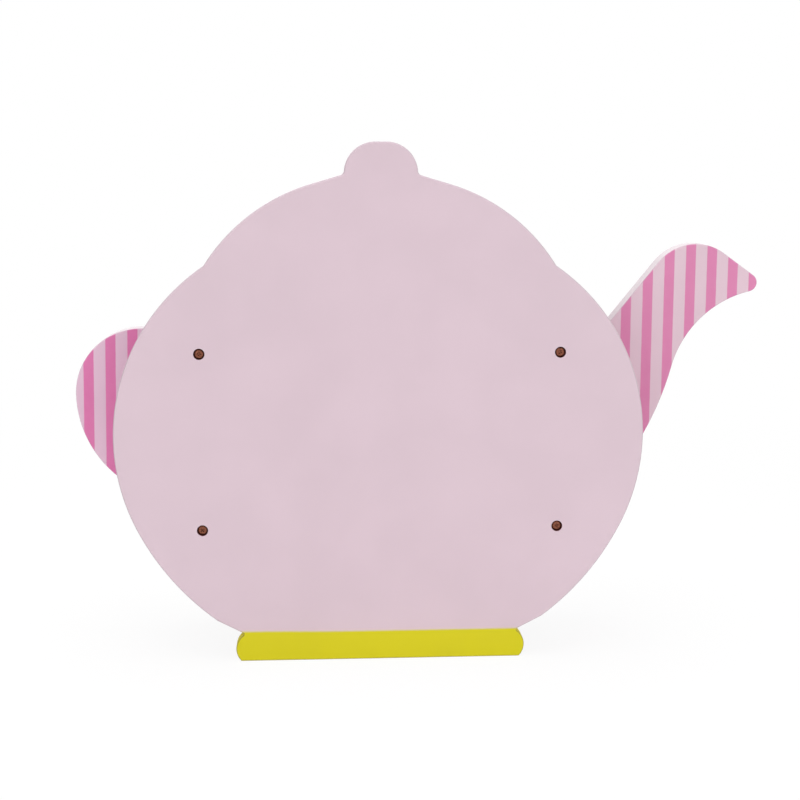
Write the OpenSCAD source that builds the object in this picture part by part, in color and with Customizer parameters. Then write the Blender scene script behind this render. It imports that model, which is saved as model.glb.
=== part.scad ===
// Toy teapot caddy: two painted teapot boards with an open bin between them,
// a striped handle board on one side and a striped spout board on the other.
// Millimetres, +Z up. The front faces -Y and the screwed back faces +Y.
// The origin is at the middle of the whole toy's footprint, on the table.

/* [Pot outline] */
// Width of the pot body
body_w = 294.8; // [260:0.2:340]
// Height from the table to the top of the knob
pot_h = 290; // [284:1:300]
// Height of the body's widest line
widest_z = 127.5; // [122:0.5:134]
// Radius of the body above its widest line
shoulder_r = 115.5; // [110:0.5:122]
// Radius of the body's lower flank
belly_r = 148; // [138:1:156]
// Angle below the horizontal where the shoulder passes into the flank
belly_turn = 26; // [16:1:36]
// Height that the lid's two arcs would reach under the knob
lid_top = 271.6; // [267:0.1:274]
// Radius of those arcs
lid_r = 104; // [98:1:110]
// Distance between their middles
lid_arc_gap = 17; // [12:1:24]
// Slope of the lid's straight shoulders beside the knob, in degrees
lid_slope = 16.5; // [14:0.5:19]
// Rounding of the notch between lid and body
lid_notch_r = 3.5; // [2:0.5:12]
// Width of the knob
knob_w = 40; // [37:1:48]
// Radius of the knob's upper corners
knob_r = 17; // [13:1:18]
// Rounding where the knob grows out of the lid
knob_foot_r = 2.5; // [1.5:0.5:5]

/* [Foot] */
// Distance from the side of the body in to the end of the foot
foot_inset = 65.4; // [60:0.2:70]
// Height of the foot, up to the edge of its paint
foot_h = 17; // [15:0.5:19]
// Radius of the foot's rounded ends
foot_end_r = 10; // [8.5:0.5:12]
// Rounding of the notch between foot and body
foot_notch_r = 1; // [0.5:0.5:3]
// Height at which the body's flank ends and runs on straight to that notch
flank_low = 23.8; // [22:0.2:28]
// Slope of that straight stretch, in degrees
foot_slope = 27.4; // [24:0.2:32]

/* [Boards] */
// Depth of the toy over both panels
depth = 80; // [66:1:110]
// Thickness of the front and back panels
panel_t = 9; // [8:0.5:12]
// Thickness of the side boards and the bin floor
board_t = 12; // [11:0.5:15]
// Thickness of the handle and spout boards
shape_t = 12; // [11:0.5:16]
// Height of the front panel's rim
front_h = 205; // [196:1:212]
// Rounding of the front panel's upper corners
rim_r = 15; // [6:1:24]

/* [Bin] */
// Distance from the side of the body in to each column of back screws, and to the side boards
screw_inset = 47.9; // [43:0.1:57]
// Distance between the upper and lower back screws
screw_span_z = 99; // [90:1:106]
// Height of the middle of the screw pattern
screw_mid_z = 126; // [120:0.5:132]
// Height of the side boards
side_h = 130; // [124:1:138]

/* [Handle] */
// How far the handle stands out past the side of the body
handle_out = 24.7; // [15:0.1:43]
// Height of the handle's outermost point
handle_z = 148.3; // [145:0.1:151]
// Radius of the handle above that point
handle_top_r = 37.7; // [33:0.1:39]
// Radius of the handle below that point
handle_low_r = 63; // [58:1:65]

/* [Spout] */
// How far the spout's tip stands out past the side of the body
spout_out = 72.2; // [65:0.1:89]
// Height of the spout's crown
spout_top = 233.3; // [226:0.1:240]
// Distance from the tip back to the middle of the crown
crown_back = 36.4; // [34:0.2:42]
// Radius of the crown
crown_r = 27.9; // [24:0.1:31]
// Height of the middle of the rounded tip
tip_z = 211; // [206:1:215]
// Radius of the rounded tip
tip_r = 5.2; // [3:0.1:7]
// Radius of the hollow under the tip
throat_r = 60; // [54:1:68]
// Radius of the long edge under the spout
spout_belly_r = 175; // [150:5:220]
// Distance from the tip back to where that edge would stand upright
waist_back = 43; // [39:1:50]
// Slope of the spout's upper edge, in degrees
spout_slope = 51.3; // [46:0.1:56]
// Height of the spout's lower corner on its side board
spout_root_z = 75; // [66:1:86]

/* [Fasteners] */
// Outer diameter of the screw thread
screw_d = 3.5; // [3:0.1:4]
// Length of a screw under its head
screw_len = 30; // [24:1:32]
// Diameter of the screw head
head_d = 5.4; // [5:0.1:6]
// Height of the screw head
head_h = 1.6; // [1.2:0.1:2]
// Diameter of the recess that hides the head
recess_d = 6.2; // [6.2:0.1:8]
// Depth of that recess
recess_h = 2.6; // [2.2:0.1:4]
// Diameter of a dowel
dowel_d = 6; // [5:0.5:7]
// Length of a dowel
dowel_len = 20; // [18:1:22]

/* [Hidden] */
$fn = 120;

// Radial slip of screws and dowels in their holes, and the glue gap past their ends
slip = 0.05;
end_gap = 0.5;
// How far a cut runs past the face it starts from
over = 1;
// How far an arc runs into the one that it passes into, so that they cross cleanly
lap = 0.02;

// Distances from the pot's middle to the ends of the handle and the spout
handle_reach = body_w / 2 + handle_out;
spout_reach = body_w / 2 + spout_out;
spout_waist = spout_reach - waist_back;
// The pot stands off the origin, so that the toy's whole footprint is centred
pot_x = (spout_reach - handle_reach) / 2;

// Faces of the boards across the depth and the width
back_y = depth / 2 - panel_t;
front_y = -back_y;
side_x = body_w / 2 - screw_inset;
root_x = side_x + board_t / 2;
side_z = screw_mid_z - side_h / 2;

// Centres of the arcs of the pot's outline, right half
shoulder_c = [body_w / 2 - shoulder_r, widest_z];
belly_c = shoulder_c - (belly_r - shoulder_r + lap) * [cos(belly_turn), -sin(belly_turn)];
lid_c = [lid_arc_gap / 2, lid_top - lid_r];
knob_c = [knob_w / 2 - knob_r, pot_h - knob_r];
foot_c = [body_w / 2 - foot_inset - foot_end_r, foot_h - foot_end_r];
rim_c_y = front_h - rim_r;
rim_c = [shoulder_c.x + sqrt(pow(shoulder_r - rim_r, 2) - pow(rim_c_y - shoulder_c.y, 2)), rim_c_y];

// The lid's straight shoulder: its outward direction, its lower end and its height over the middle
lid_n = [sin(lid_slope), cos(lid_slope)];
lid_end = lid_c + (lid_r - lap) * lid_n;
lid_peak = lid_end.y + lid_end.x * tan(lid_slope);
// The straight stretch between flank and foot: its outward direction and its upper end
flank_n = [sin(foot_slope), -cos(foot_slope)];
flank_end = [belly_c.x + sqrt(pow(belly_r, 2) - pow(belly_c.y - flank_low, 2)), flank_low];

// Centres of the roundings in the outline's notches, each touching the two edges it joins
lid_notch_c = meet(lid_c, lid_r + lid_notch_r, shoulder_c, shoulder_r + lid_notch_r, 1);
knob_foot_c = nestle(lid_c + lid_r * lid_n, lid_n, knob_c, knob_r, knob_foot_r, 1);
foot_notch_c = nestle(flank_end, flank_n, foot_c, foot_end_r, foot_notch_r, -1);

// Places of the fasteners
screw_zs = [screw_mid_z - screw_span_z / 2, screw_mid_z + screw_span_z / 2];
front_dowel_zs = [side_z + side_h / 4, side_z + side_h * 3 / 4];
floor_dowel_ys = [front_y / 2, back_y / 2];
handle_low = handle_z - handle_low_r;
handle_h = handle_low_r + handle_top_r;
handle_dowel_zs = [handle_low + handle_h / 4, handle_low + handle_h * 3 / 4];
// Share of a dowel's length that is glued into the board it starts from
front_dowel_share = 0.3;
side_dowel_share = 0.4;

// Screw thread: pitch, depth, length of the plain neck and of the point
thread_pitch = 1.5;
thread_depth = 0.45;
neck_len = 7.5;
point_len = 4.5;
// Cross slot in the head
slot_w = 0.8;
slot_l = 3.4;
slot_h = 0.9;
// Bevel on a dowel's ends
dowel_bevel = 0.8;

// One of the two points where circles a and b cross; side 1 lies left of the way from a to b
function meet(a, ra, b, rb, side) =
    let (d = norm(b - a), e = (b - a) / d, t = (ra * ra - rb * rb + d * d) / (2 * d))
    a + t * e + side * sqrt(ra * ra - t * t) * [-e.y, e.x];
function unit(v) = v / norm(v);
// Centre of a circle of radius r that touches the straight edge through p, on the side that n points
// to, and the disc of radius rc around c; side 1 lies to the right of the way that n points
function nestle(p, n, c, rc, r, side) =
    let (h = (p - c) * n + r)
    c + h * n + side * sqrt(pow(rc + r, 2) - h * h) * [n.y, -n.x];

// The point at height z on the line of the straight stretch between flank and foot
function on_stretch(z) = [flank_end.x + (z - flank_end.y) / tan(foot_slope), z];

// Both halves of an outline that is drawn for the right half
module both() {
    children();
    mirror([1, 0]) children();
}

// A board made of 2D outlines, standing with its front face at y
module upright(y, t) {
    translate([pot_x, y + t, 0]) rotate([90, 0, 0])
        for (i = [0 : $children - 1]) linear_extrude(height = t) children(i);
}

// A cut of the same kind, right through a board
module through(y, t) {
    translate([pot_x, y + t + over, 0]) rotate([90, 0, 0])
        for (i = [0 : $children - 1]) linear_extrude(height = t + 2 * over) children(i);
}

// The shoulder's disc, and of the flank's disc what lies below the line through both centres.
// Its underside is cut off along the flank's straight stretch, and level low inside the foot.
module body_2d() {
    low = foot_h / 4;
    both() intersection() {
        polygon([[-over, low], on_stretch(low), on_stretch(pot_h), [-over, pot_h]]);
        union() {
            translate(shoulder_c) circle(shoulder_r);
            translate(belly_c) intersection() {
                circle(belly_r);
                rotate(-belly_turn) translate([-body_w, -body_w]) square([2 * body_w, body_w]);
            }
        }
    }
}

// The lid's two arcs, with a straight shoulder from each up to a ridge inside the knob
module lid_2d() {
    both() {
        translate(lid_c) circle(lid_r);
        polygon([[-over, lid_c.y], lid_end, [0, lid_peak], [-over, lid_peak]]);
        polygon([lid_c, lid_notch_c, shoulder_c]);
    }
}

// The knob's flat top lies half a lap inside the arcs that it joins
module knob_2d() {
    both() {
        translate(knob_c) circle(knob_r);
        polygon([knob_foot_c - lid_r * lid_n, knob_foot_c, knob_c]);
    }
    translate([-knob_c.x, lid_c.y]) square([2 * knob_c.x, pot_h - lap / 2 - lid_c.y]);
}

module foot_2d() {
    both() {
        intersection() {
            translate(foot_c) circle(foot_end_r);
            square([body_w, foot_h]);
        }
        polygon([foot_notch_c - foot_h * flank_n, foot_notch_c, foot_c]);
    }
    translate([-foot_c.x, 0]) square([2 * foot_c.x, foot_h]);
}

// The rounding that is cut into a notch once its corner is filled
module rounding_2d(c, r) {
    both() translate(c) circle(r + lap);
}

// What is cut off a corner of the rim, beyond its rounding
module rim_corner_2d() {
    out = unit(rim_c - shoulder_c);
    reach = 3 * rim_r;
    difference() {
        polygon([rim_c, rim_c + reach * out, rim_c + reach * (out + [0, 1]), rim_c + reach * [0, 1]]);
        translate(rim_c) circle(rim_r + lap);
    }
}

module handle_2d() {
    low_c = [handle_reach - handle_low_r - lap, handle_z];
    top_c = [handle_reach - handle_top_r, handle_z];
    intersection() {
        translate([root_x, 0]) square([handle_reach, pot_h]);
        union() {
            translate(top_c) circle(handle_top_r);
            intersection() {
                translate(low_c) circle(handle_low_r);
                translate([0, handle_low]) square([handle_reach + over, handle_low_r]);
            }
            translate([root_x, handle_z]) square([top_c.x - root_x, handle_top_r - lap]);
        }
    }
}

// Arc centres of the spout, with the spout drawn towards +X
crown_c = [spout_reach - crown_back, spout_top - crown_r];
tip_c = [spout_reach - tip_r, tip_z];
edge_c = [spout_waist - spout_belly_r, crown_c.y];
throat_c = meet(edge_c, spout_belly_r + throat_r, tip_c, tip_r + throat_r, -1);
// Corner points where those arcs meet the straight edges and each other
slope_n = [-sin(spout_slope), cos(spout_slope)];
slope_top = crown_c + (crown_r - lap) * slope_n;
slope_root = [root_x, slope_top.y - (slope_top.x - root_x) * tan(spout_slope)];
brow_turn = atan2(tip_c.y - crown_c.y, tip_c.x - crown_c.x) + acos((crown_r - tip_r) / norm(tip_c - crown_c));
brow_n = [cos(brow_turn), sin(brow_turn)];
edge_top = edge_c + (spout_belly_r - lap) * unit(throat_c - edge_c);
throat_end = tip_c + (tip_r - lap) * unit(throat_c - tip_c);
root_corner = [root_x, spout_root_z];
spout_dowel_zs = [spout_root_z + (slope_root.y - spout_root_z) / 4,
                  spout_root_z + (slope_root.y - spout_root_z) * 3 / 4];

module spout_2d() {
    difference() {
        union() {
            polygon([root_corner, edge_top, throat_end, tip_c, tip_c + (tip_r - lap) * brow_n,
                     crown_c + (crown_r - lap) * brow_n, slope_top, slope_root]);
            translate(crown_c) circle(crown_r);
            translate(tip_c) circle(tip_r);
            intersection() {
                translate(edge_c) circle(spout_belly_r);
                polygon([root_corner, [spout_waist, spout_root_z], [spout_waist, crown_c.y], slope_top]);
            }
        }
        translate(throat_c) circle(throat_r + lap);
    }
}

// A dowel along +X from the origin
module dowel() {
    r = dowel_d / 2;
    rotate([0, 90, 0]) rotate_extrude() polygon([[0, 0], [r - dowel_bevel, 0], [r, dowel_bevel],
        [r, dowel_len - dowel_bevel], [r - dowel_bevel, dowel_len], [0, dowel_len]]);
}

// The hole for one dowel: in before the joint face at x = 0, and out past it
module dowel_hole() {
    translate([-end_gap, 0, 0]) rotate([0, 90, 0])
        cylinder(r = dowel_d / 2 + slip, h = dowel_len + 2 * end_gap);
}

// The four dowels of the front panel, each started at its blind end in the panel
module front_dowel_places() {
    for (x = [-side_x, side_x], z = front_dowel_zs)
        translate([pot_x + x, front_y - front_dowel_share * dowel_len, z]) rotate([0, 0, 90]) children();
}

// The four dowels of the bin floor, each started at its blind end in a side board
module floor_dowel_places() {
    for (s = [-1, 1], y = floor_dowel_ys)
        translate([pot_x - s * (side_x - board_t / 2 + side_dowel_share * dowel_len), y,
                   side_z + board_t / 2]) rotate([0, 0, s > 0 ? 0 : 180]) children();
}

module handle_dowel_places() {
    for (z = handle_dowel_zs)
        translate([pot_x + root_x - side_dowel_share * dowel_len, 0, z]) children();
}

module spout_dowel_places() {
    for (z = spout_dowel_zs)
        translate([pot_x - root_x + side_dowel_share * dowel_len, 0, z]) rotate([0, 0, 180]) children();
}

// The four back screws, each at the top of its head, pointing to the front
module screw_places() {
    for (x = [-side_x, side_x], z = screw_zs)
        translate([pot_x + x, depth / 2 - recess_h + head_h, z]) rotate([90, 0, 0]) children();
}

// A wood screw along +Z, from the top of its head
module screw() {
    r = screw_d / 2;
    core = r - thread_depth;
    turns = floor((screw_len - neck_len - point_len) / thread_pitch);
    ridge = [for (i = [0 : turns - 1], p = [[core, 0], [r, thread_pitch / 2]])
        [p.x, head_h + neck_len + i * thread_pitch + p.y]];
    difference() {
        rotate_extrude() polygon(concat([[0, 0], [head_d / 2 - head_h / 2, 0], [head_d / 2, head_h / 2],
            [head_d / 2, head_h], [core, head_h]], ridge,
            [[core, head_h + screw_len - point_len], [0, head_h + screw_len]]));
        for (a = [0, 90]) rotate([0, 0, a])
            translate([-slot_l / 2, -slot_w / 2, -over]) cube([slot_l, slot_w, slot_h + over]);
    }
}

// Recess and hole for one screw, from the top of its head
module screw_hole() {
    translate([0, 0, head_h - recess_h - over]) cylinder(d = recess_d, h = recess_h + over);
    cylinder(r = screw_d / 2 + slip, h = head_h + screw_len + end_gap);
}

module side_board(s) {
    translate([pot_x + s * side_x - board_t / 2, front_y, side_z])
        cube([board_t, back_y - front_y, side_h]);
}

module back_panel() {
    color([0.86, 0.78, 0.82]) difference() {
        upright(back_y, panel_t) {
            body_2d();
            lid_2d();
            knob_2d();
            foot_2d();
        }
        through(back_y, panel_t) {
            rounding_2d(lid_notch_c, lid_notch_r);
            rounding_2d(knob_foot_c, knob_foot_r);
            rounding_2d(foot_notch_c, foot_notch_r);
        }
        screw_places() screw_hole();
    }
}

module front_panel() {
    color([0.87, 0.79, 0.83]) difference() {
        upright(front_y - panel_t, panel_t) {
            intersection() {
                body_2d();
                translate([-body_w, 0]) square([2 * body_w, front_h]);
            }
            foot_2d();
        }
        through(front_y - panel_t, panel_t) {
            both() rim_corner_2d();
            rounding_2d(foot_notch_c, foot_notch_r);
        }
        front_dowel_places() dowel_hole();
    }
}

module spout_side_board() {
    color([0.85, 0.76, 0.80]) difference() {
        side_board(-1);
        screw_places() screw_hole();
        front_dowel_places() dowel_hole();
        floor_dowel_places() dowel_hole();
        spout_dowel_places() dowel_hole();
    }
}

module handle_side_board() {
    color([0.85, 0.76, 0.80]) difference() {
        side_board(1);
        screw_places() screw_hole();
        front_dowel_places() dowel_hole();
        floor_dowel_places() dowel_hole();
        handle_dowel_places() dowel_hole();
    }
}

module bin_floor() {
    inside = 2 * side_x - board_t;
    color([0.83, 0.74, 0.78]) difference() {
        translate([pot_x - inside / 2, front_y, side_z]) cube([inside, back_y - front_y, board_t]);
        floor_dowel_places() dowel_hole();
    }
}

module handle_board() {
    color([0.86, 0.53, 0.70]) difference() {
        upright(-shape_t / 2, shape_t) handle_2d();
        handle_dowel_places() dowel_hole();
    }
}

module spout_board() {
    color([0.86, 0.53, 0.70]) difference() {
        upright(-shape_t / 2, shape_t) mirror([1, 0]) spout_2d();
        spout_dowel_places() dowel_hole();
    }
}

module back_screws() {
    color([0.43, 0.29, 0.20]) screw_places() screw();
}

module front_dowels() {
    color([0.82, 0.68, 0.48]) front_dowel_places() dowel();
}

module floor_dowels() {
    color([0.82, 0.68, 0.48]) floor_dowel_places() dowel();
}

module handle_dowels() {
    color([0.82, 0.68, 0.48]) handle_dowel_places() dowel();
}

module spout_dowels() {
    color([0.82, 0.68, 0.48]) spout_dowel_places() dowel();
}

back_panel();
front_panel();
spout_side_board();
handle_side_board();
bin_floor();
handle_board();
spout_board();
back_screws();
front_dowels();
floor_dowels();
handle_dowels();
spout_dowels();
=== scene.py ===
# %% [markdown]
# # A wooden teapot caddy
# The toy is cut from flat fibreboard, like a piece of doll's furniture. A tall teapot-shaped
# panel stands at the back, a lower one at the front, and plain boards between them make an open
# bin. A handle and a spout, each a flat board with printed stripes, come out at the sides. We see
# the back, where four screws sit in round recesses.
#
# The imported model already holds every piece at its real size. This lesson gives the pieces what a
# workshop gives them: eased edges, drilled recesses, paint and print.

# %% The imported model
import math

import bmesh
import bpy
from mathutils import Matrix, Quaternion, Vector, geometry


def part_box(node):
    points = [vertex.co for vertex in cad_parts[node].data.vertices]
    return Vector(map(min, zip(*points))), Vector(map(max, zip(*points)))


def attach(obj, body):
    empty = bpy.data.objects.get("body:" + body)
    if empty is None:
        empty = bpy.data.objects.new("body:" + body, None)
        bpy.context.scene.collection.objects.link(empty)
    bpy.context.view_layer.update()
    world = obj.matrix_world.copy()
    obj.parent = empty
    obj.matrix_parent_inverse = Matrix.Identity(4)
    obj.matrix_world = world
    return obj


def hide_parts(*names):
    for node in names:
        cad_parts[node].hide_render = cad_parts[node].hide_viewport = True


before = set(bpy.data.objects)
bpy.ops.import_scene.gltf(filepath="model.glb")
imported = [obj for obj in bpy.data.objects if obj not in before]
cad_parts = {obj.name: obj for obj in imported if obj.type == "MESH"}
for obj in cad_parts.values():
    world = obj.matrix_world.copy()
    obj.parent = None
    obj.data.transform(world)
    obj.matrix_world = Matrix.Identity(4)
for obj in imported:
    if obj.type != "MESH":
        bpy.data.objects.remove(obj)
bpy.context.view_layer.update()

# %% [markdown]
# ## Sizes
# All lengths are in metres, so a size in millimetres is written as a number times MM. Where a
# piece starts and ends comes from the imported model. The radii of the outlines, further down, are
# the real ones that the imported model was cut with, since an outline drawn with the same arcs lies
# exactly on it.

# %% Sizes
MM = 0.001

back_low, back_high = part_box("back_panel")
pot_x = (back_low.x + back_high.x) / 2
pot_h = back_high.z
body_w = back_high.x - back_low.x
print(f"pot {body_w / MM:.1f} wide and {pot_h / MM:.1f} high, its middle at x = {pot_x / MM:.2f} mm")

# %% [markdown]
# ## Colours
# A colour picked from a photo is in display values from 0 to 255, but a shader wants linear
# light. The helper below does that conversion, so that the paints can be written the way an eye
# reads them.


# %% Colours
def display(red, green, blue):
    """A linear colour from three display values of 0 to 255."""
    def linear(value):
        share = value / 255
        return share / 12.92 if share <= 0.04045 else ((share + 0.055) / 1.055) ** 2.4
    return (linear(red), linear(green), linear(blue), 1)


def shaded(colour, factor):
    """The same colour, lighter or darker."""
    return tuple(channel * factor for channel in colour[:3]) + (1,)


pale_pink = display(221, 199, 209)
# Painted shade: a darker, greyer pink for the eased rims, where a rounded edge turns into shade.
pink_rim_shade = display(200, 183, 191)
# Painted light: the handle has the spout's print, painted brighter and stronger to make up for the shade
# behind the panel's rim.
handle_pale_lit, handle_ink_lit = display(235, 200, 220), display(230, 126, 181)
spout_pale, spout_ink = display(225, 197, 209), display(220, 132, 176)
edge_pale = display(215, 205, 209)
foot_yellow = display(218, 208, 12)
# Painted shade: a darker olive for the eased rims of the yellow foot.
yellow_rim_shade = display(176, 164, 40)
board_brown = display(128, 66, 62)
bronze = display(158, 100, 79)
beech_light = display(214, 178, 132)
beech_dark = display(188, 146, 100)
print("pale pink in linear light:", [round(channel, 3) for channel in pale_pink[:3]])

# %% [markdown]
# ## Building a shader
# Every finish here is a small tree of nodes. One helper adds a node, sets its options and fills
# its inputs. An input gets a plain value, or the output of another node, which is then linked.
# Patterns read Object coordinates: the pieces lie at their real place in metres, so one unit of a
# pattern is one metre, and a stripe can be placed exactly.


# %% Shader helpers
def add(tree, kind, inputs=None, **options):
    """A new shader node, with its options set and its inputs filled or linked."""
    node = tree.nodes.new("ShaderNode" + kind)
    for option, value in options.items():
        setattr(node, option, value)
    for name, value in (inputs or {}).items():
        if isinstance(value, bpy.types.NodeSocket):
            tree.links.new(value, node.inputs[name])
        else:
            node.inputs[name].default_value = value
    return node


def maths(tree, operation, first, second=0.0, third=0.0):
    """The result of one Math node."""
    return add(tree, "Math", {0: first, 1: second, 2: third}, operation=operation).outputs[0]


def blend(tree, share, low, high):
    """A colour between low and high."""
    return add(tree, "Mix", {"Factor": share, "A": low, "B": high}, data_type="RGBA").outputs["Result"]


def ramp(tree, value, start, end, low=0.0, high=1.0):
    """low where value is at start, high where it is at end, and a soft step between them."""
    inputs = {"Value": value, "From Min": start, "From Max": end, "To Min": low, "To Max": high}
    return add(tree, "MapRange", inputs, interpolation_type="SMOOTHSTEP").outputs["Result"]


def noise(tree, where, size, detail=2.0):
    """Cloudy noise from 0 to 1 whose blotches are about size across."""
    return add(tree, "TexNoise", {"Vector": where, "Scale": 1 / size, "Detail": detail}).outputs["Fac"]


def new_finish(name):
    """An empty material, its node tree, its shader and the place on the object that is shaded."""
    material = bpy.data.materials.new(name)
    material.use_nodes = True
    tree = material.node_tree
    shader = tree.nodes["Principled BSDF"]
    return material, tree, shader, add(tree, "TexCoord").outputs["Object"]


# %% [markdown]
# ## Paint on fibreboard
# Paint on such a toy is sprayed on in one satin coat. It is even, but not flat: it has faint
# clouds, a fine orange peel, and a duller, slightly rougher skin where the cut edge of the board
# has drunk some of it. On the eased rims the colour is painted darker and greyer: that is painted
# shade, which draws the fine dark line round every painted board, seen from the front. All of
# this depends on one number, the depth of a point below the nearer face of its board, so that is
# worked out first.


# %% Depth below the face
def depth_below(tree, where, node):
    """How deep a point lies below the nearer face of a board."""
    low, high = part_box(node)
    across = add(tree, "SeparateXYZ", {0: where}).outputs["Y"]
    from_middle = maths(tree, "ABSOLUTE", maths(tree, "SUBTRACT", across, (low.y + high.y) / 2))
    return maths(tree, "SUBTRACT", (high.y - low.y) / 2, from_middle)


def face_share(tree, depth, rim):
    """1 on the two flat faces of a board, 0 on its sides, with a soft step along a rim of this radius."""
    return ramp(tree, depth, rim, 0.25 * rim)


def coat(tree, depth, rim, colour, rim_shade_colour, rim_shade_share=1.0):
    """One coat of paint, with painted shade on the eased rims: a darker, greyer colour by the given share.
    """
    past_face = ramp(tree, depth, 0.01 * rim, 0.2 * rim)
    before_side = ramp(tree, depth, 1.6 * rim, 0.9 * rim)
    share = maths(tree, "MULTIPLY", maths(tree, "MULTIPLY", past_face, before_side), rim_shade_share)
    return blend(tree, share, colour, rim_shade_colour)


# %% [markdown]
# ### The coat
# It could be one flat colour with one roughness, but that looks like plastic in an even light. So
# large soft noise tints the colour by a percent or two, a smaller one changes the gloss, and two
# bumps give the orange peel everywhere and raised fibres on the sides only. The paint shines less
# than varnish would, so its specular level is lower than the shader's own.

# %% The coat
cloud_size, cloud_low, cloud_high = 45 * MM, 0.98, 1.015
gloss_size, glossy, satin = 9 * MM, 0.40, 0.48
side_dullness = 0.15
peel_size, peel_depth = 1.6 * MM, 0.012 * MM
fibre_size, fibre_depth = 0.5 * MM, 0.04 * MM
paint_shine = 0.3


def lay_paint(tree, shader, where, colour, on_face):
    """Joins a colour to the shader with the clouds, gloss and peel of sprayed paint."""
    clouds = ramp(tree, noise(tree, where, cloud_size), 0.3, 0.7, cloud_low, cloud_high)
    tinted = add(tree, "Mix", {"Factor": 1.0, "A": colour, "B": clouds}, data_type="RGBA",
                 blend_type="MULTIPLY").outputs["Result"]
    tree.links.new(tinted, shader.inputs["Base Color"])
    shader.inputs["Specular IOR Level"].default_value = paint_shine

    off_face = maths(tree, "SUBTRACT", 1.0, on_face)
    gloss = ramp(tree, noise(tree, where, gloss_size), 0.3, 0.7, glossy, satin)
    duller = maths(tree, "MULTIPLY_ADD", off_face, side_dullness, gloss)
    tree.links.new(duller, shader.inputs["Roughness"])

    peel = add(tree, "Bump", {"Height": noise(tree, where, peel_size, 3.0), "Distance": peel_depth})
    raised = maths(tree, "MULTIPLY", off_face, noise(tree, where, fibre_size, 4.0))
    fibres = add(tree, "Bump", {"Height": raised, "Distance": fibre_depth, "Normal": peel.outputs[0]})
    tree.links.new(fibres.outputs[0], shader.inputs["Normal"])


# %% [markdown]
# ### The panels
# The panels are pale pink, and their foot is painted yellow-green over it, all the way round. The
# foot could be a second piece, but the real board has no seam there, so one material changes its
# colour with the height. A masked border is straight but never perfect, so a little noise moves
# it by a tenth of a millimetre, and towards the handle it climbs by a little more than half a
# millimetre. The paint has to know by how much the rims of the board are eased, and the cutting
# further down takes the same value.

# %% Panel paint
ease = 0.9 * MM
foot_h = 17 * MM
wobble_size, wobble = 3 * MM, 0.3 * MM
border_top, border_foot = foot_h + 0.8 * MM, foot_h - 1.0 * MM
climb_start, climb_end, climb_by = pot_x + 20 * MM, pot_x + 71 * MM, 0.65 * MM


def panel_paint(name, node):
    """Pale pink paint with a yellow-green foot."""
    material, tree, shader, where = new_finish(name)
    depth = depth_below(tree, where, node)
    # Both colours get painted shade on the eased rims.
    pink = coat(tree, depth, ease, pale_pink, pink_rim_shade)
    yellow = coat(tree, depth, ease, foot_yellow, yellow_rim_shade)
    unevenness = maths(tree, "MULTIPLY", noise(tree, where, wobble_size), wobble)
    place = add(tree, "SeparateXYZ", {0: where}).outputs
    climb = ramp(tree, place["X"], climb_start, climb_end, 0.0, climb_by)
    height = maths(tree, "SUBTRACT", maths(tree, "ADD", place["Z"], unevenness), climb)
    foot = ramp(tree, height, border_top, border_foot)
    lay_paint(tree, shader, where, blend(tree, foot, pink, yellow), face_share(tree, depth, ease))
    return material


back_paint = panel_paint("back panel paint", "back_panel")
front_paint = panel_paint("front panel paint", "front_panel")
print(f"the foot's paint ends {foot_h / MM:.0f} mm up, {climb_by / MM:.2f} mm higher at the handle's end")

# %% [markdown]
# ### The boards between the panels
# They have the same pale pink paint and no print. Nobody polishes the inside of a box, so the
# same coat is used with a little of the sides' dullness and fibres all over.

# %% Plain paint
smooth_share = 0.6


def plain_paint(name):
    """Pale pink paint, a little rougher than on the panels."""
    material, tree, shader, where = new_finish(name)
    lay_paint(tree, shader, where, pale_pink, smooth_share)
    return material


side_paint = plain_paint("side board paint")

# %% [markdown]
# ### Stripes
# The handle and the spout carry upright stripes on both faces, and plain, whiter edges. The print
# could be an image, but a pattern made of nodes stays sharp at any distance. A Mapping node lays
# a ruler on each board: its zero is the middle of one stripe, its unit is the pitch of the
# stripes, and it points outwards. Whatever lies close to a whole number is inked. The border is a
# soft step, because ink creeps a little into the paint, and it wavers by a tenth of a millimetre.
# The print is never quite square to the board, so each ruler is turned by the degree or so that
# it is out. Both boards carry the same print, but the handle's colours are painted brighter and
# stronger: painted light, which makes up for the shade behind the panel's rim.

# %% Stripe paint
stripe_pitch = 12.38 * MM
stripe_w = 5.75 * MM
ink_creep = 0.4 * MM
wander_size, wander_by = 4 * MM, 0.016
density_size, thin_ink = 6 * MM, 0.96
# The striped boards get half as much painted rim shade as the panels.
small_ease, stripe_rim_shade = 0.6 * MM, 0.5
handle_z = 148.3 * MM
handle_stripe = Vector((pot_x + 152.4 * MM, 0, handle_z))
handle_turn = math.radians(-1.2)
spout_stripe = Vector((pot_x - 180.5 * MM, 0, 180 * MM))
spout_turn = math.radians(0.3)


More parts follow.
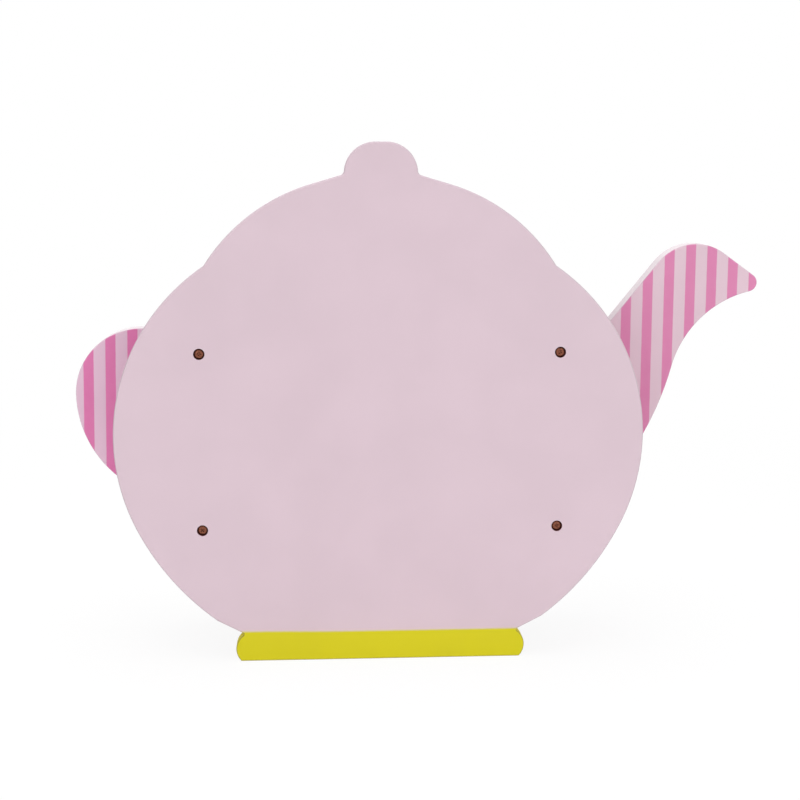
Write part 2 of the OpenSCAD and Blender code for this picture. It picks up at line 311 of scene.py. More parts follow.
def stripe_paint(name, node, pale, ink, stripe, outwards, turn):
    """Pale paint with stripes of ink, one of them with its middle at stripe."""
    material, tree, shader, where = new_finish(name)
    depth = depth_below(tree, where, node)
    on_face = face_share(tree, depth, small_ease)
    ruler = add(tree, "Mapping", {"Vector": where, "Location": stripe, "Rotation": (0, turn, 0),
                                  "Scale": (outwards * stripe_pitch, 1, 1)}, vector_type="TEXTURE")
    counted = add(tree, "SeparateXYZ", {0: ruler.outputs[0]}).outputs["X"]
    wander = maths(tree, "MULTIPLY_ADD", noise(tree, where, wander_size), wander_by, 0.5 - wander_by / 2)
    along = maths(tree, "FRACT", maths(tree, "ADD", counted, wander))
    off_middle = maths(tree, "ABSOLUTE", maths(tree, "SUBTRACT", along, 0.5))
    border, creep = stripe_w / 2 / stripe_pitch, ink_creep / 2 / stripe_pitch
    inked = ramp(tree, off_middle, border + creep, border - creep)
    density = ramp(tree, noise(tree, where, density_size), 0.25, 0.75, thin_ink, 1.0)
    printed = blend(tree, maths(tree, "MULTIPLY", inked, density), pale, ink)
    board = blend(tree, on_face, edge_pale, printed)
    # The print and the edges get painted shade on the eased rims.
    lay_paint(tree, shader, where, coat(tree, depth, small_ease, board, pink_rim_shade, stripe_rim_shade), on_face)
    return material


# The handle's colours carry painted light.
handle_paint = stripe_paint("handle stripes", "handle_board", handle_pale_lit, handle_ink_lit, handle_stripe,
                            1, handle_turn)
spout_paint = stripe_paint("spout stripes", "spout_board", spout_pale, spout_ink, spout_stripe,
                           -1, spout_turn)
print(f"stripes {stripe_w / MM:.2f} wide, one every {stripe_pitch / MM:.2f} mm")

# %% [markdown]
# ### Raw board
# A hole is drilled after painting, so it shows raw brown fibreboard. Pressed fibres look like
# felt: fine noise mixes two browns and roughens the surface. Nobody has to pick the faces for it,
# because a boolean cut hands the cutter's material on to the faces that it makes.

# %% Raw board
felt_size, felt_depth = 0.4 * MM, 0.1 * MM


def raw_fibreboard():
    """Cut fibreboard: brown, dull and felted."""
    material, tree, shader, where = new_finish("raw fibreboard")
    felt = noise(tree, where, felt_size, 4.0)
    tree.links.new(blend(tree, felt, shaded(board_brown, 0.7), board_brown), shader.inputs["Base Color"])
    shader.inputs["Roughness"].default_value = 0.9
    rough = add(tree, "Bump", {"Height": felt, "Distance": felt_depth})
    tree.links.new(rough.outputs[0], shader.inputs["Normal"])
    return material


raw_board = raw_fibreboard()

# %% [markdown]
# ### Bronzed steel
# The screws are steel with a bronze-brown plating. Colour, gloss and bumps could each have their
# own pattern, but on real plating they belong together. So one noise drives all three, and its
# pits are darker, duller and deeper.

# %% Bronzed steel
pit_size, pit_depth, pit_shade = 0.6 * MM, 0.03 * MM, 0.45


def bronzed_steel():
    """Plated screw steel, uneven in colour and gloss."""
    material, tree, shader, where = new_finish("bronzed steel")
    pits = noise(tree, where, pit_size, 4.0)
    tone = ramp(tree, pits, 0.35, 0.65)
    tree.links.new(blend(tree, tone, shaded(bronze, pit_shade), bronze), shader.inputs["Base Color"])
    tree.links.new(ramp(tree, pits, 0.3, 0.7, 0.5, 0.3), shader.inputs["Roughness"])
    shader.inputs["Metallic"].default_value = 1.0
    scuffs = add(tree, "Bump", {"Height": pits, "Distance": pit_depth})
    tree.links.new(scuffs.outputs[0], shader.inputs["Normal"])
    return material


screw_steel = bronzed_steel()

# %% [markdown]
# ### Beech
# The dowels are bare beech, whose grain runs along them. A Mapping node squeezes the noise along
# one axis, which stretches its blotches into fibres, so there is one beech for each way that the
# dowels lie.

# %% Beech
grain_size, pore_depth = 1 * MM, 0.05 * MM
along_grain = 0.06


def beech(name, fibre):
    """Bare beech whose fibres run along one axis: fibre is the squeeze of the noise on each axis."""
    material, tree, shader, where = new_finish(name)
    along = add(tree, "Mapping", {"Vector": where, "Scale": fibre}, vector_type="POINT").outputs[0]
    grain = noise(tree, along, grain_size, 5.0)
    wood = blend(tree, ramp(tree, grain, 0.3, 0.7), beech_dark, beech_light)
    tree.links.new(wood, shader.inputs["Base Color"])
    shader.inputs["Roughness"].default_value = 0.65
    pores = add(tree, "Bump", {"Height": grain, "Distance": pore_depth})
    tree.links.new(pores.outputs[0], shader.inputs["Normal"])
    return material


beech_along_x = beech("beech along x", (along_grain, 1, 1))
beech_along_y = beech("beech along y", (1, along_grain, 1))
finishes = (back_paint, front_paint, side_paint, handle_paint, spout_paint, raw_board, screw_steel,
            beech_along_x, beech_along_y)
print("finishes:", [finish.name for finish in finishes])

# %% [markdown]
# ## Drawing an outline
# A board starts as its outline. It could be typed in as a list of points, but a list hides how
# the shape was made. The pen below draws as a draughtsman does: a straight stroke extrudes the
# last vertex, and a round stroke spins it about the centre of the arc. A stroke is a pair: the
# centre, or None for a straight one, and the point it ends at. An arc gets a step every two
# degrees, or fewer where it is so tight that the steps would be shorter than 0.4 mm.

# %% The pen
finest_turn, finest_step = math.radians(2), 0.4 * MM
seam = 0.01 * MM


def upright(point):
    """A point of a drawing, as a place in the upright plane."""
    return Vector((point.x, 0, point.y))


def line_to(bm, tip, point):
    """Draws a straight stroke from the vertex tip and gives the vertex at its end."""
    end = bmesh.ops.extrude_vert_indiv(bm, verts=[tip])["verts"][0]
    end.co = upright(point)
    return end


def arc_to(bm, tip, centre, point):
    """Draws a round stroke about centre, the short way to the direction of point."""
    arm = tip.co.xz - centre
    turn = arm.angle_signed(point - centre)
    step = max(finest_turn, finest_step / arm.length)
    swept = bmesh.ops.spin(bm, geom=[tip], cent=upright(centre), axis=(0, 1, 0), angle=turn,
                           steps=max(2, math.ceil(abs(turn) / step)), use_merge=False)
    return next(g for g in swept["geom_last"] if isinstance(g, bmesh.types.BMVert))


def draw(bm, start, strokes, symmetric):
    """Draws a closed outline: one half that is then mirrored, or the whole."""
    first = bmesh.ops.create_vert(bm, co=upright(start))["vert"][0]
    tip = first
    for centre, point in strokes:
        tip = line_to(bm, tip, point) if centre is None else arc_to(bm, tip, centre, point)
    if symmetric:
        # The mirror welds the two ends that lie on the axis, so the outline closes by itself.
        half = bm.verts[:] + bm.edges[:]
        bmesh.ops.mirror(bm, geom=half, matrix=Matrix.Identity(4), merge_dist=seam, axis="X")
    else:
        bmesh.ops.contextual_create(bm, geom=[tip, first])


# %% [markdown]
# ## Cutting a board
# The outline is filled, extruded to the board's thickness and eased along its two rims with a
# small round bevel. That bevel matters more than its size suggests: it is what catches the light
# along the edge of a painted board. The Solidify and Bevel modifiers could do the same, but the
# operators can be told exactly which edges to round. A plank has no outline of its own: it is a
# cube, scaled to its node's box and eased all round.


# %% Boards
def finish_piece(bm, name, *materials):
    """Turns a bmesh into an object that carries the given finishes."""
    mesh = bpy.data.meshes.new(name)
    bm.to_mesh(mesh)
    bm.free()
    for material in materials:
        mesh.materials.append(material)
    piece = bpy.data.objects.new(name, mesh)
    bpy.context.scene.collection.objects.link(piece)
    return piece


def round_edges(bm, edges, radius):
    """Rounds edges with a bevel of four steps."""
    bmesh.ops.bevel(bm, geom=edges, offset=radius, offset_type="OFFSET", segments=4, profile=0.5,
                    affect="EDGES", material=-1)


def cut_board(name, node, start, strokes, paint, rim, symmetric=False, towards=1):
    """A board with the drawn outline, as thick as its node, and eased along both rims."""
    low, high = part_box(node)
    bm = bmesh.new()
    draw(bm, start, strokes, symmetric)
    bmesh.ops.scale(bm, vec=(towards, 1, 1), verts=bm.verts)
    bmesh.ops.translate(bm, vec=(pot_x, low.y, 0), verts=bm.verts)
    sheet = bmesh.ops.edgeloop_fill(bm, edges=bm.edges[:])["faces"]
    grown = bmesh.ops.extrude_face_region(bm, geom=sheet)["geom"]
    far_side = [g for g in grown if isinstance(g, bmesh.types.BMVert)]
    bmesh.ops.translate(bm, vec=(0, high.y - low.y, 0), verts=far_side)
    bmesh.ops.recalc_face_normals(bm, faces=bm.faces[:])
    flats = sorted(bm.faces, key=lambda face: face.calc_area())[-2:]
    round_edges(bm, [edge for face in flats for edge in face.edges], rim)
    return finish_piece(bm, name, paint)


def saw_plank(name, node, rim):
    """A plain board that fills its node's box, with every edge eased."""
    low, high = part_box(node)
    bm = bmesh.new()
    place = Matrix.Translation((low + high) / 2) @ Matrix.Diagonal((*(high - low), 1))
    bmesh.ops.create_cube(bm, size=1, matrix=place)
    round_edges(bm, bm.edges[:], rim)
    return finish_piece(bm, name, side_paint)


# %% [markdown]
# ## Drilling and finishing
# A hole comes last, as in the workshop. Each is a boolean cut, and the cutter's own finish lines
# the hole. Then the piece is shaded smooth where it is round and crisp where it has a corner, and
# it takes its node's place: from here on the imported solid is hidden, and the finished one is
# shown.

# %% Drilling and finishing
corner_angle = math.radians(35)


def drill(board, *cutters):
    """Cuts each cutter out of the board."""
    for cutter in cutters:
        cut = board.modifiers.new("drill", "BOOLEAN")
        cut.operation = "DIFFERENCE"
        cut.solver = "MANIFOLD"
        cut.material_mode = "TRANSFER"
        cut.object = cutter
    bpy.context.view_layer.update()
    drilled = bpy.data.meshes.new_from_object(board.evaluated_get(bpy.context.evaluated_depsgraph_get()))
    board.modifiers.clear()
    board.data = drilled


def shade(piece):
    """Shades a piece smooth, with crisp corners, and keeps its flat faces flat."""
    piece.data.shade_smooth()
    piece.data.set_sharp_from_angle(angle=corner_angle)
    lead = piece.modifiers.new("flat faces lead", "WEIGHTED_NORMAL")
    lead.keep_sharp = True


def stand_for(piece, node):
    """The piece takes its node's place on the toy."""
    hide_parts(node)
    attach(piece, "root")
    print(f"{piece.name}: {len(piece.data.polygons)} faces")


# %% [markdown]
# ## Screw places and the lathe
# The four screws stand at the corners of a rectangle, half a head inside the box of their node.
# Both the drill for their recesses and the screws themselves are round. They could be put
# together from cylinders and cones, but a lathe gives one closed skin: a profile is spun once
# round, and its seam is merged. A second helper puts a copy at each of the four places.

# %% Screw places and the lathe
screw_d, head_d = 3.5 * MM, 5.4 * MM
weld = 0.001 * MM
screws_low, screws_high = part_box("back_screws")
screw_xs = (screws_low.x + head_d / 2, screws_high.x - head_d / 2)
screw_zs = (screws_low.z + head_d / 2, screws_high.z - head_d / 2)
screw_places = [Vector((x, screws_high.y, z)) for x in screw_xs for z in screw_zs]


def turned(profile, steps):
    """A bmesh turned on a lathe: (radius, depth) pairs, spun about the Y axis and pointing to -Y."""
    bm = bmesh.new()
    tip = bmesh.ops.create_vert(bm, co=(profile[0][0], -profile[0][1], 0))["vert"][0]
    for radius, depth in profile[1:]:
        tip = bmesh.ops.extrude_vert_indiv(bm, verts=[tip])["verts"][0]
        tip.co = (radius, -depth, 0)
    bmesh.ops.spin(bm, geom=bm.verts[:] + bm.edges[:], cent=(0, 0, 0), axis=(0, 1, 0), angle=2 * math.pi,
                   steps=steps, use_merge=True)
    bmesh.ops.remove_doubles(bm, verts=bm.verts[:], dist=weld)
    bmesh.ops.recalc_face_normals(bm, faces=bm.faces[:])
    return bm


def repeat(bm, places, turns=None):
    """A bmesh with one copy of bm at each place, each turned about its own axis."""
    single = bpy.data.meshes.new("single")
    bm.to_mesh(single)
    bm.free()
    every = bmesh.new()
    for place, turn in zip(places, turns or [0] * len(places)):
        before = len(every.verts)
        every.from_mesh(single)
        every.verts.ensure_lookup_table()
        where = Matrix.Translation(place) @ Matrix.Rotation(turn, 4, "Y")
        bmesh.ops.transform(every, matrix=where, verts=every.verts[before:])
    bpy.data.meshes.remove(single)
    return every


print("screws at", [tuple(round(v / MM, 1) for v in place) for place in screw_places])

# %% [markdown]
# ## Cutters
# One drill makes the recess for a screw head and the hole for its shank. A dowel's hole has
# exactly the dowel's shape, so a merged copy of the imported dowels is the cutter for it.

# %% Cutters
recess_d, recess_h = 6.2 * MM, 2.6 * MM
screw_slip = 0.05 * MM
end_gap = 0.5 * MM


def recess_drill():
    """The cutter for the four screw recesses and the holes for their shanks."""
    face = screws_high.y - back_high.y
    shank = screw_d / 2 + screw_slip
    length = screws_high.y - screws_low.y + end_gap
    bottom = recess_h + face
    profile = [(0, face - MM), (recess_d / 2, face - MM), (recess_d / 2, bottom), (shank, bottom),
               (shank, length), (0, length)]
    return finish_piece(repeat(turned(profile, steps=48), screw_places), "recess drill", raw_board)


def dowel_cutter(node):
    """A merged copy of a node of dowels, to cut their holes with."""
    bm = bmesh.new()
    bm.from_mesh(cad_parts[node].data)
    bmesh.ops.remove_doubles(bm, verts=bm.verts[:], dist=weld)
    return finish_piece(bm, node + " cutter", raw_board)


recesses = recess_drill()
dowel_nodes = ("front_dowels", "floor_dowels", "handle_dowels", "spout_dowels")
holes = {node: dowel_cutter(node) for node in dowel_nodes}
print("cutters:", recesses.name, "and", [cutter.name for cutter in holes.values()])

# %% [markdown]
# ## The pot's outline
# The pot is drawn from the middle of its foot up its right side to the middle of its knob: foot
# end, notch, belly, shoulder, notch, lid, knob. Where two arcs pass into each other, the joint
# lies on the line through both centres, which is all that is needed to find it. The centre of a
# notch is where two widened circles meet, or a widened circle and a straight edge that is moved
# outwards: the belly runs straight into the foot, and the lid straight up to the knob.

# %% Sizes of the outline
widest_z = 127.5 * MM
shoulder_r = 115.5 * MM
belly_r, belly_turn = 148 * MM, math.radians(26)
lid_top, lid_r, lid_arc_gap = 271.6 * MM, 104 * MM, 17 * MM
lid_slope, lid_notch_r = math.radians(16.5), 3.5 * MM
knob_w, knob_r, knob_foot_r = 40 * MM, 17 * MM, 2.5 * MM
foot_inset, foot_end_r, foot_notch_r = 65.4 * MM, 10 * MM, 1 * MM
flank_low, foot_slope = 23.8 * MM, math.radians(27.4)
print(f"foot {(body_w - 2 * foot_inset) / MM:.1f} and knob {knob_w / MM:.0f} mm wide")


# %% Helpers for centres
def on(centre, radius, towards):
    """The point of a circle that faces another point."""
    return centre + radius * (towards - centre).normalized()


def nestled(a, a_r, b, b_r, radius):
    """The centre of a rounding that touches circles a and b from outside, on their right."""
    both = geometry.intersect_sphere_sphere_2d(a, a_r + radius, b, b_r + radius)
    return max(both, key=lambda point: point.x)


def nestled_on_edge(edge, out, centre, centre_r, radius):
    """The centre of a rounding that touches a straight edge, which faces out, and a circle."""
    height = (edge - centre).dot(out) + radius
    reach = math.sqrt((centre_r + radius) ** 2 - height ** 2)
    both = [centre + height * out + side * reach * Vector((out.y, -out.x)) for side in (-1, 1)]
    return max(both, key=lambda point: point.x)


# %% Points and centres
shoulder = Vector((body_w / 2 - shoulder_r, widest_z))
belly = shoulder - (belly_r - shoulder_r) * Vector((math.cos(belly_turn), -math.sin(belly_turn)))
flank_end = Vector((belly.x + math.sqrt(belly_r ** 2 - (belly.y - flank_low) ** 2), flank_low))
flank_out = Vector((math.sin(foot_slope), -math.cos(foot_slope)))
lid = Vector((lid_arc_gap / 2, lid_top - lid_r))
lid_out = Vector((math.sin(lid_slope), math.cos(lid_slope)))
lid_end = lid + lid_r * lid_out
knob = Vector((knob_w / 2 - knob_r, pot_h - knob_r))
foot_end = Vector((body_w / 2 - foot_inset - foot_end_r, foot_h - foot_end_r))
foot_corner = Vector((foot_end.x + math.sqrt(foot_end_r ** 2 - foot_end.y ** 2), 0))
foot_notch = nestled_on_edge(flank_end, flank_out, foot_end, foot_end_r, foot_notch_r)
lid_notch = nestled(shoulder, shoulder_r, lid, lid_r, lid_notch_r)
knob_foot = nestled_on_edge(lid_end, lid_out, knob, knob_r, knob_foot_r)
notches = (foot_notch, lid_notch, knob_foot)
print("notches at", [tuple(round(v / MM, 1) for v in point) for point in notches])

# %% [markdown]
# ## The back panel
# Body, lid, knob and foot are one board. Only its right half is drawn, and then mirrored, so that
# both sides are equal. The strokes up to the shoulder have a name of their own, because the front
# panel starts with the same ones.

# %% Back panel
middle_of_foot = Vector((0, 0))
foot_and_belly = [
    (None, foot_corner),
    (foot_end, on(foot_end, foot_end_r, foot_notch)),
    (foot_notch, foot_notch - foot_notch_r * flank_out),
    (None, flank_end),
    (belly, on(belly, belly_r, shoulder)),
]
lid_and_knob = [
    (shoulder, on(shoulder, shoulder_r, lid_notch)),
    (lid_notch, on(lid_notch, lid_notch_r, lid)),
    (lid, lid_end),
    (None, knob_foot - knob_foot_r * lid_out),
    (knob_foot, on(knob_foot, knob_foot_r, knob)),
    (knob, Vector((knob.x, pot_h))),
    (None, Vector((0, pot_h))),
]
back_panel = cut_board("back_panel_painted", "back_panel", middle_of_foot, foot_and_belly + lid_and_knob,
                       back_paint, ease, symmetric=True)
drill(back_panel, recesses)
shade(back_panel)
stand_for(back_panel, "back_panel")

# %% [markdown]
# ## The front panel
# It has the same foot and belly, and stops at a flat rim below the lid, so that small hands can
# reach into the bin.

# %% Front panel
rim_z, rim_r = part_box("front_panel")[1].z, 15 * MM
rim_y = rim_z - rim_r
rim_reach = math.sqrt((shoulder_r - rim_r) ** 2 - (rim_y - shoulder.y) ** 2)
rim_corner = Vector((shoulder.x + rim_reach, rim_y))
rim = [
    (shoulder, on(shoulder, shoulder_r, rim_corner)),
    (rim_corner, Vector((rim_corner.x, rim_z))),
    (None, Vector((0, rim_z))),
]
front_panel = cut_board("front_panel_painted", "front_panel", middle_of_foot, foot_and_belly + rim,
                        front_paint, ease, symmetric=True)
drill(front_panel, holes["front_dowels"])
shade(front_panel)
stand_for(front_panel, "front_panel")

# %% [markdown]
# ## The bin
# Two side boards and a floor, sawn square and eased. Cubes could be scaled as objects, but then
# their rounded edges would be stretched as well, so each cube gets its full size inside its mesh
# first. The boards carry the holes for all the dowels that meet them.

# %% Bin boards
spout_side = saw_plank("spout_side_painted", "spout_side_board", small_ease)
drill(spout_side, recesses, holes["front_dowels"], holes["floor_dowels"], holes["spout_dowels"])
handle_side = saw_plank("handle_side_painted", "handle_side_board", small_ease)
drill(handle_side, recesses, holes["front_dowels"], holes["floor_dowels"], holes["handle_dowels"])
bin_floor = saw_plank("bin_floor_painted", "bin_floor", small_ease)
drill(bin_floor, holes["floor_dowels"])
for board in (spout_side, handle_side, bin_floor):
    shade(board)
stand_for(spout_side, "spout_side_board")
stand_for(handle_side, "handle_side_board")
stand_for(bin_floor, "bin_floor")

# %% [markdown]
# ## The handle
# A solid ear. It hangs lower than it stands up, so it isn't part of one circle: a large arc below
# and a smaller one above meet at its outermost point. Both have their centre at that height, and
# so they run smoothly into each other. A straight top runs in to the side board.

# %% Handle
root_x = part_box("handle_board")[0].x - pot_x
handle_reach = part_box("handle_board")[1].x - pot_x
handle_top_r, handle_low_r = 37.7 * MM, 63 * MM
low_bow = Vector((handle_reach - handle_low_r, handle_z))
top_bow = Vector((handle_reach - handle_top_r, handle_z))
handle_top = handle_z + handle_top_r
handle_root = Vector((root_x, handle_z - math.sqrt(handle_low_r ** 2 - (root_x - low_bow.x) ** 2)))
handle_strokes = [
    (low_bow, Vector((handle_reach, handle_z))),
    (top_bow, Vector((top_bow.x, handle_top))),
    (None, Vector((root_x, handle_top))),
]
handle = cut_board("handle_striped", "handle_board", handle_root, handle_strokes, handle_paint, small_ease)
drill(handle, holes["handle_dowels"])
shade(handle)
stand_for(handle, "handle_board")

# %% [markdown]
# ## The spout
# It is drawn towards +X as the handle is, and then turned over to the other side with a negative
# scale, after which its normals are worked out again. Its long lower edge bulges, then hollows
# out under the tip. The upper edge climbs straight to a round crown, and a short straight brow
# runs from the crown down to the tip. A straight strip could be bent into a spout, but here the
# two edges follow different curves, so the outline is drawn.

# %% Sizes of the spout
spout_reach = pot_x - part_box("spout_board")[0].x
spout_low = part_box("spout_board")[0].z
spout_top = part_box("spout_board")[1].z
crown_back, crown_r = 36.4 * MM, 27.9 * MM
tip_z, tip_r = 211 * MM, 5.2 * MM
throat_r = 60 * MM
spout_belly_r = 175 * MM
spout_waist = spout_reach - 43 * MM
spout_slope = math.radians(51.3)
print(f"handle reaches {handle_reach / MM:.1f}, spout {spout_reach / MM:.1f} mm from the pot's middle")

# %% Spout
crown = Vector((spout_reach - crown_back, spout_top - crown_r))
tip = Vector((spout_reach - tip_r, tip_z))
long_edge = Vector((spout_waist - spout_belly_r, crown.y))
throat = nestled(long_edge, spout_belly_r, tip, tip_r, throat_r)
to_tip = tip - crown
brow_turn = math.atan2(to_tip.y, to_tip.x) + math.acos((crown_r - tip_r) / to_tip.length)
brow_out = Vector((math.cos(brow_turn), math.sin(brow_turn)))
slope_top = crown + crown_r * Vector((-math.sin(spout_slope), math.cos(spout_slope)))
slope_root = Vector((root_x, slope_top.y - (slope_top.x - root_x) * math.tan(spout_slope)))
low_reach = math.sqrt(spout_belly_r ** 2 - (spout_low - long_edge.y) ** 2)
low_corner = Vector((long_edge.x + low_reach, spout_low))
spout_strokes = [
    (None, low_corner),
    (long_edge, on(long_edge, spout_belly_r, throat)),
    (throat, on(throat, throat_r, tip)),
    (tip, tip + tip_r * brow_out),
    (None, crown + crown_r * brow_out),
    (crown, slope_top),
    (None, slope_root),
]
spout = cut_board("spout_striped", "spout_board", Vector((root_x, spout_low)), spout_strokes, spout_paint,
                  small_ease, towards=-1)
drill(spout, holes["spout_dowels"])
shade(spout)
stand_for(spout, "spout_board")

# %% [markdown]
# ## The screws
# A screw is turned on a lathe like the real one: head, neck, core and point. The rim of the head
# is rounded with a bevel. A disc for each head would do for this view, but every piece is also
# there to be taken out and looked at on its own.

# %% Screw body
thread_depth = 0.45 * MM
core_r = screw_d / 2 - thread_depth
head_h, point_len = 1.6 * MM, 4.5 * MM
screw_end = screws_high.y - screws_low.y
head_round = 0.8 * MM


def screw_body():
    """Head, neck, core and point, with the rim of the head rounded."""
    bm = turned([(0, 0), (head_d / 2, 0), (head_d / 2, head_h), (core_r, head_h),
                 (core_r, screw_end - point_len), (0, screw_end)], steps=40)
    top_rim = {vert for vert in bm.verts if vert.co.y > -0.01 * MM and vert.co.length > head_d / 3}
    round_edges(bm, [edge for edge in bm.edges if top_rim.issuperset(edge.verts)], head_round)
    return bm


lathe_screw = screw_body()
print(f"screw {screw_end / MM:.1f} long, its head {head_d / MM:.1f} mm wide")

# %% [markdown]
# ### The thread
# For the same reason the thread isn't a bump in the material. It is a small triangle, spun many
# times round while each step also moves it a little along the screw. Its root lies a tenth of a
# millimetre inside the core, so that it grows out of it.

# %% Thread
thread_pitch, neck_len = 1.5 * MM, 7.5 * MM
thread_steps = 20
root_r = core_r - 0.1 * MM


def add_thread(bm):
    """Winds a thread of triangular section along the core and gives the number of its turns."""
    start = head_h + neck_len
    turns = int((screw_end - point_len - start) / thread_pitch)
    corners = ((root_r, 0), (screw_d / 2, thread_pitch / 3), (root_r, thread_pitch * 2 / 3))
    ring = [bmesh.ops.create_vert(bm, co=(radius, -start - along, 0))["vert"][0]
            for radius, along in corners]
    section = bmesh.ops.contextual_create(bm, geom=ring)["faces"]
    bmesh.ops.spin(bm, geom=section, cent=(0, 0, 0), axis=(0, 1, 0), angle=turns * 2 * math.pi,
                   dvec=(0, -thread_pitch / thread_steps, 0), steps=turns * thread_steps, use_merge=False)
    return turns


print("thread turns:", add_thread(lathe_screw))
bmesh.ops.recalc_face_normals(lathe_screw, faces=lathe_screw.faces[:])

# %% [markdown]
# ### The cross and the four screws
# The cross in the head is cut with a tapered blade, twice. The cuts leave a few faces without any
# area, which are dissolved. Nobody lines up screws, so each one is left at its own angle.

# %% Cross and copies
blade_w, blade_l, blade_deep = 0.75 * MM, 3.3 * MM, 1.0 * MM
blade_taper = (0.4, 1, 0.6)
screw_turns = [math.radians(angle) for angle in (20, 64, 35, 81)]


def cross_blade(turn):
    """One blade of the screwdriver's cross, tapered to its lower end."""
    bm = bmesh.new()
    bmesh.ops.create_cube(bm, size=1, matrix=Matrix.Diagonal((blade_l, 2 * blade_deep, blade_w, 1)))
    bmesh.ops.scale(bm, vec=blade_taper, verts=[v for v in bm.verts if v.co.y < 0])
    bmesh.ops.rotate(bm, cent=(0, 0, 0), matrix=Matrix.Rotation(turn, 3, "Y"), verts=bm.verts)
    return finish_piece(bm, "cross blade", screw_steel)


single_screw = finish_piece(lathe_screw, "single screw", screw_steel)
blades = [cross_blade(0), cross_blade(math.pi / 2)]
drill(single_screw, *blades)
screw_bm = bmesh.new()
screw_bm.from_mesh(single_screw.data)
bmesh.ops.dissolve_degenerate(screw_bm, dist=weld, edges=screw_bm.edges[:])
screws = finish_piece(repeat(screw_bm, screw_places, screw_turns), "bronzed_screws", screw_steel)
shade(screws)
stand_for(screws, "back_screws")

# %% [markdown]
# ## The dowels
# The dowels are hidden in their holes. They could be modelled again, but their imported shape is
# already right, so they only get their wood. The tools of the workshop, the cutters, are put
# away.

# %% Dowels
for node in dowel_nodes:
    wood = beech_along_y if node == "front_dowels" else beech_along_x
    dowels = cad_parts[node]
    dowels.data.materials.clear()
    dowels.data.materials.append(wood)
for tool in [recesses, single_screw, *blades, *holes.values()]:
    bpy.data.objects.remove(tool)
print("beech on", dowel_nodes)

# %% [markdown]
# ## The floor
# The toy stands on a white sweep. A white floor would show as grey wherever it is a little less
# lit, so to the camera it is mostly a glowing white, with a tenth of the real surface, which
# takes the shadow. Further out it fades to plain white, so that no horizon shows.

# %% Floor
floor_size = 12.0
floor_white = 0.92
shadow_share = 0.1
fade_start, fade_end = 0.35, 0.9


def seen_white(tree):
    """1 for a ray from the camera, from a reflection or through glass, which all see plain white."""
    rays = add(tree, "LightPath").outputs
    mirrored = maths(tree, "MAXIMUM", rays["Is Glossy Ray"], rays["Is Transmission Ray"])
    return maths(tree, "MAXIMUM", rays["Is Camera Ray"], mirrored)


def white_sweep():
    """White for the camera, with part of the real shadow close to the toy."""
    material, tree, shader, where = new_finish("white sweep")
    shader.inputs["Base Color"].default_value = (floor_white, floor_white, floor_white, 1)
    shader.inputs["Roughness"].default_value = 0.9
    glow = add(tree, "Emission", {"Strength": 1.0})
    away = add(tree, "VectorMath", {0: where}, operation="LENGTH").outputs["Value"]
    fading = ramp(tree, away, fade_start, fade_end, 1 - shadow_share, 1.0)
    share = maths(tree, "MULTIPLY", seen_white(tree), fading)
    mixed = add(tree, "MixShader", {0: share, 1: shader.outputs[0], 2: glow.outputs[0]})
    tree.links.new(mixed.outputs[0], tree.nodes["Material Output"].inputs["Surface"])
    return material


floor_bm = bmesh.new()
bmesh.ops.create_grid(floor_bm, x_segments=1, y_segments=1, size=floor_size / 2)
finish_piece(floor_bm, "floor", white_sweep())
print(f"floor {floor_size:.0f} m wide, plain white beyond {fade_end} m")

# %% [markdown]
# ## Light
# The world gives an even light from all round, and the camera and the reflections see it as
# white. A large lamp overhead makes the upper edges brighter than the face, and the white floor
# throws its light back up on the foot and the belly. Two weaker lamps stand low at the sides, so
# that their light reaches the spout and the handle behind the rim of the panel, and a last one
# keeps the front panel from looking dull. A picture of a studio could light the scene too, but
# with separate lamps it is plain what each of them does.

# %% Light
sky_light = 0.54


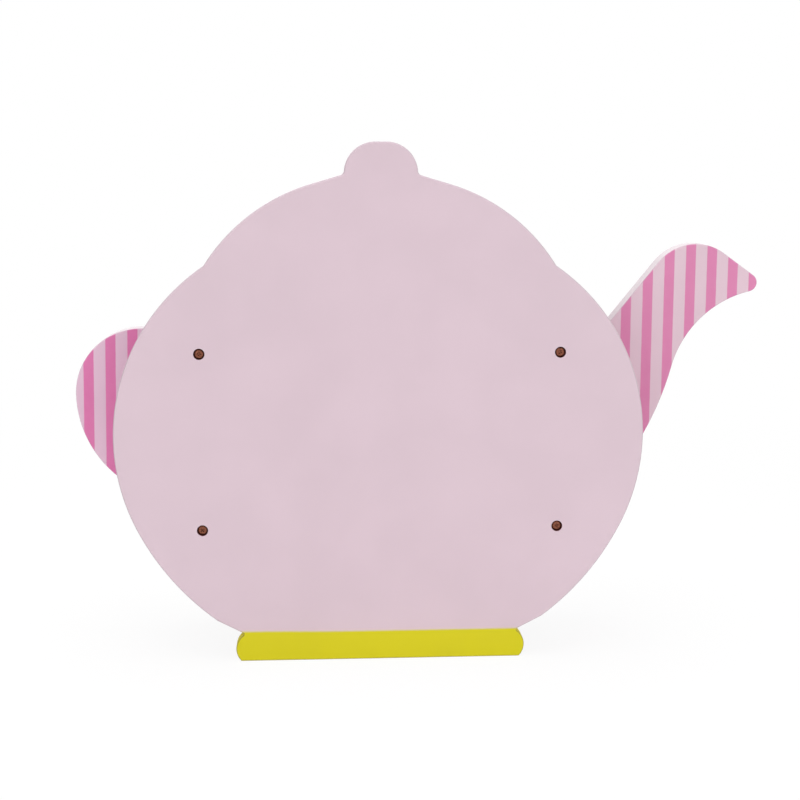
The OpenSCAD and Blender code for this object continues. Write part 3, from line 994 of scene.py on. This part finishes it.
def soft_lamp(name, size, power, place, target):
    """A square lamp that looks from place to target."""
    lamp = bpy.data.lights.new(name, "AREA")
    lamp.size = size
    lamp.energy = power
    holder = bpy.data.objects.new(name, lamp)
    holder.location = place
    holder.rotation_euler = (Vector(target) - Vector(place)).to_track_quat("-Z", "Y").to_euler()
    bpy.context.scene.collection.objects.link(holder)


world = bpy.data.worlds.new("studio")
world.use_nodes = True
bpy.context.scene.world = world
sky = world.node_tree
strength = add(sky, "MapRange", {"Value": seen_white(sky), "To Min": sky_light, "To Max": 1.0})
sky.links.new(strength.outputs["Result"], sky.nodes["Background"].inputs["Strength"])
sky.nodes["Background"].inputs["Color"].default_value = (1, 1, 1, 1)

soft_lamp("overhead lamp", 1.2, 13.0, (0.1, 0.1, 1.4), (0, 0, 0.1))
soft_lamp("spout side lamp", 0.9, 3.7, (-1.1, 1.0, 0.6), (0, 0, 0.15))
soft_lamp("handle side lamp", 0.9, 1.9, (1.1, 1.0, 0.6), (0, 0, 0.15))
soft_lamp("front lamp", 1.2, 3.0, (0.2, -1.4, 0.7), (0, 0, 0.15))
print("lamps:", {lamp.name: round(lamp.energy, 1) for lamp in bpy.data.lights})

# %% [markdown]
# ## The camera
# The camera stands at the height of the knob, four fifths of a metre behind the toy, and looks
# slightly down, turned a few degrees to one side. These angles could be hidden in a matrix, but
# written one by one they can be read and changed. Its lens is shifted by half a pixel each way,
# because a picture is measured at the middle of its pixels.

# %% Camera
camera_place = Vector((62.3, 802.05, 276.9)) * MM
camera_yaw = math.radians(3.70)
camera_pitch = math.radians(9.5)
camera_roll = math.radians(0.152)
half_pixel = 0.5 / 800

look = Vector((-math.sin(camera_yaw) * math.cos(camera_pitch),
               -math.cos(camera_yaw) * math.cos(camera_pitch), -math.sin(camera_pitch)))
lens = bpy.data.cameras.new("camera")
lens.sensor_width = 36
lens.lens = 63
lens.shift_x = -half_pixel
lens.shift_y = half_pixel
camera = bpy.data.objects.new("camera", lens)
camera.location = camera_place
camera.rotation_mode = "QUATERNION"
camera.rotation_quaternion = look.to_track_quat("-Z", "Y") @ Quaternion((0, 0, 1), camera_roll)
bpy.context.scene.collection.objects.link(camera)
bpy.context.scene.camera = camera
bpy.context.scene.view_settings.view_transform = "Standard"
print(f"camera {camera_place.length:.2f} m from the origin, with a {lens.lens:.0f} mm lens")
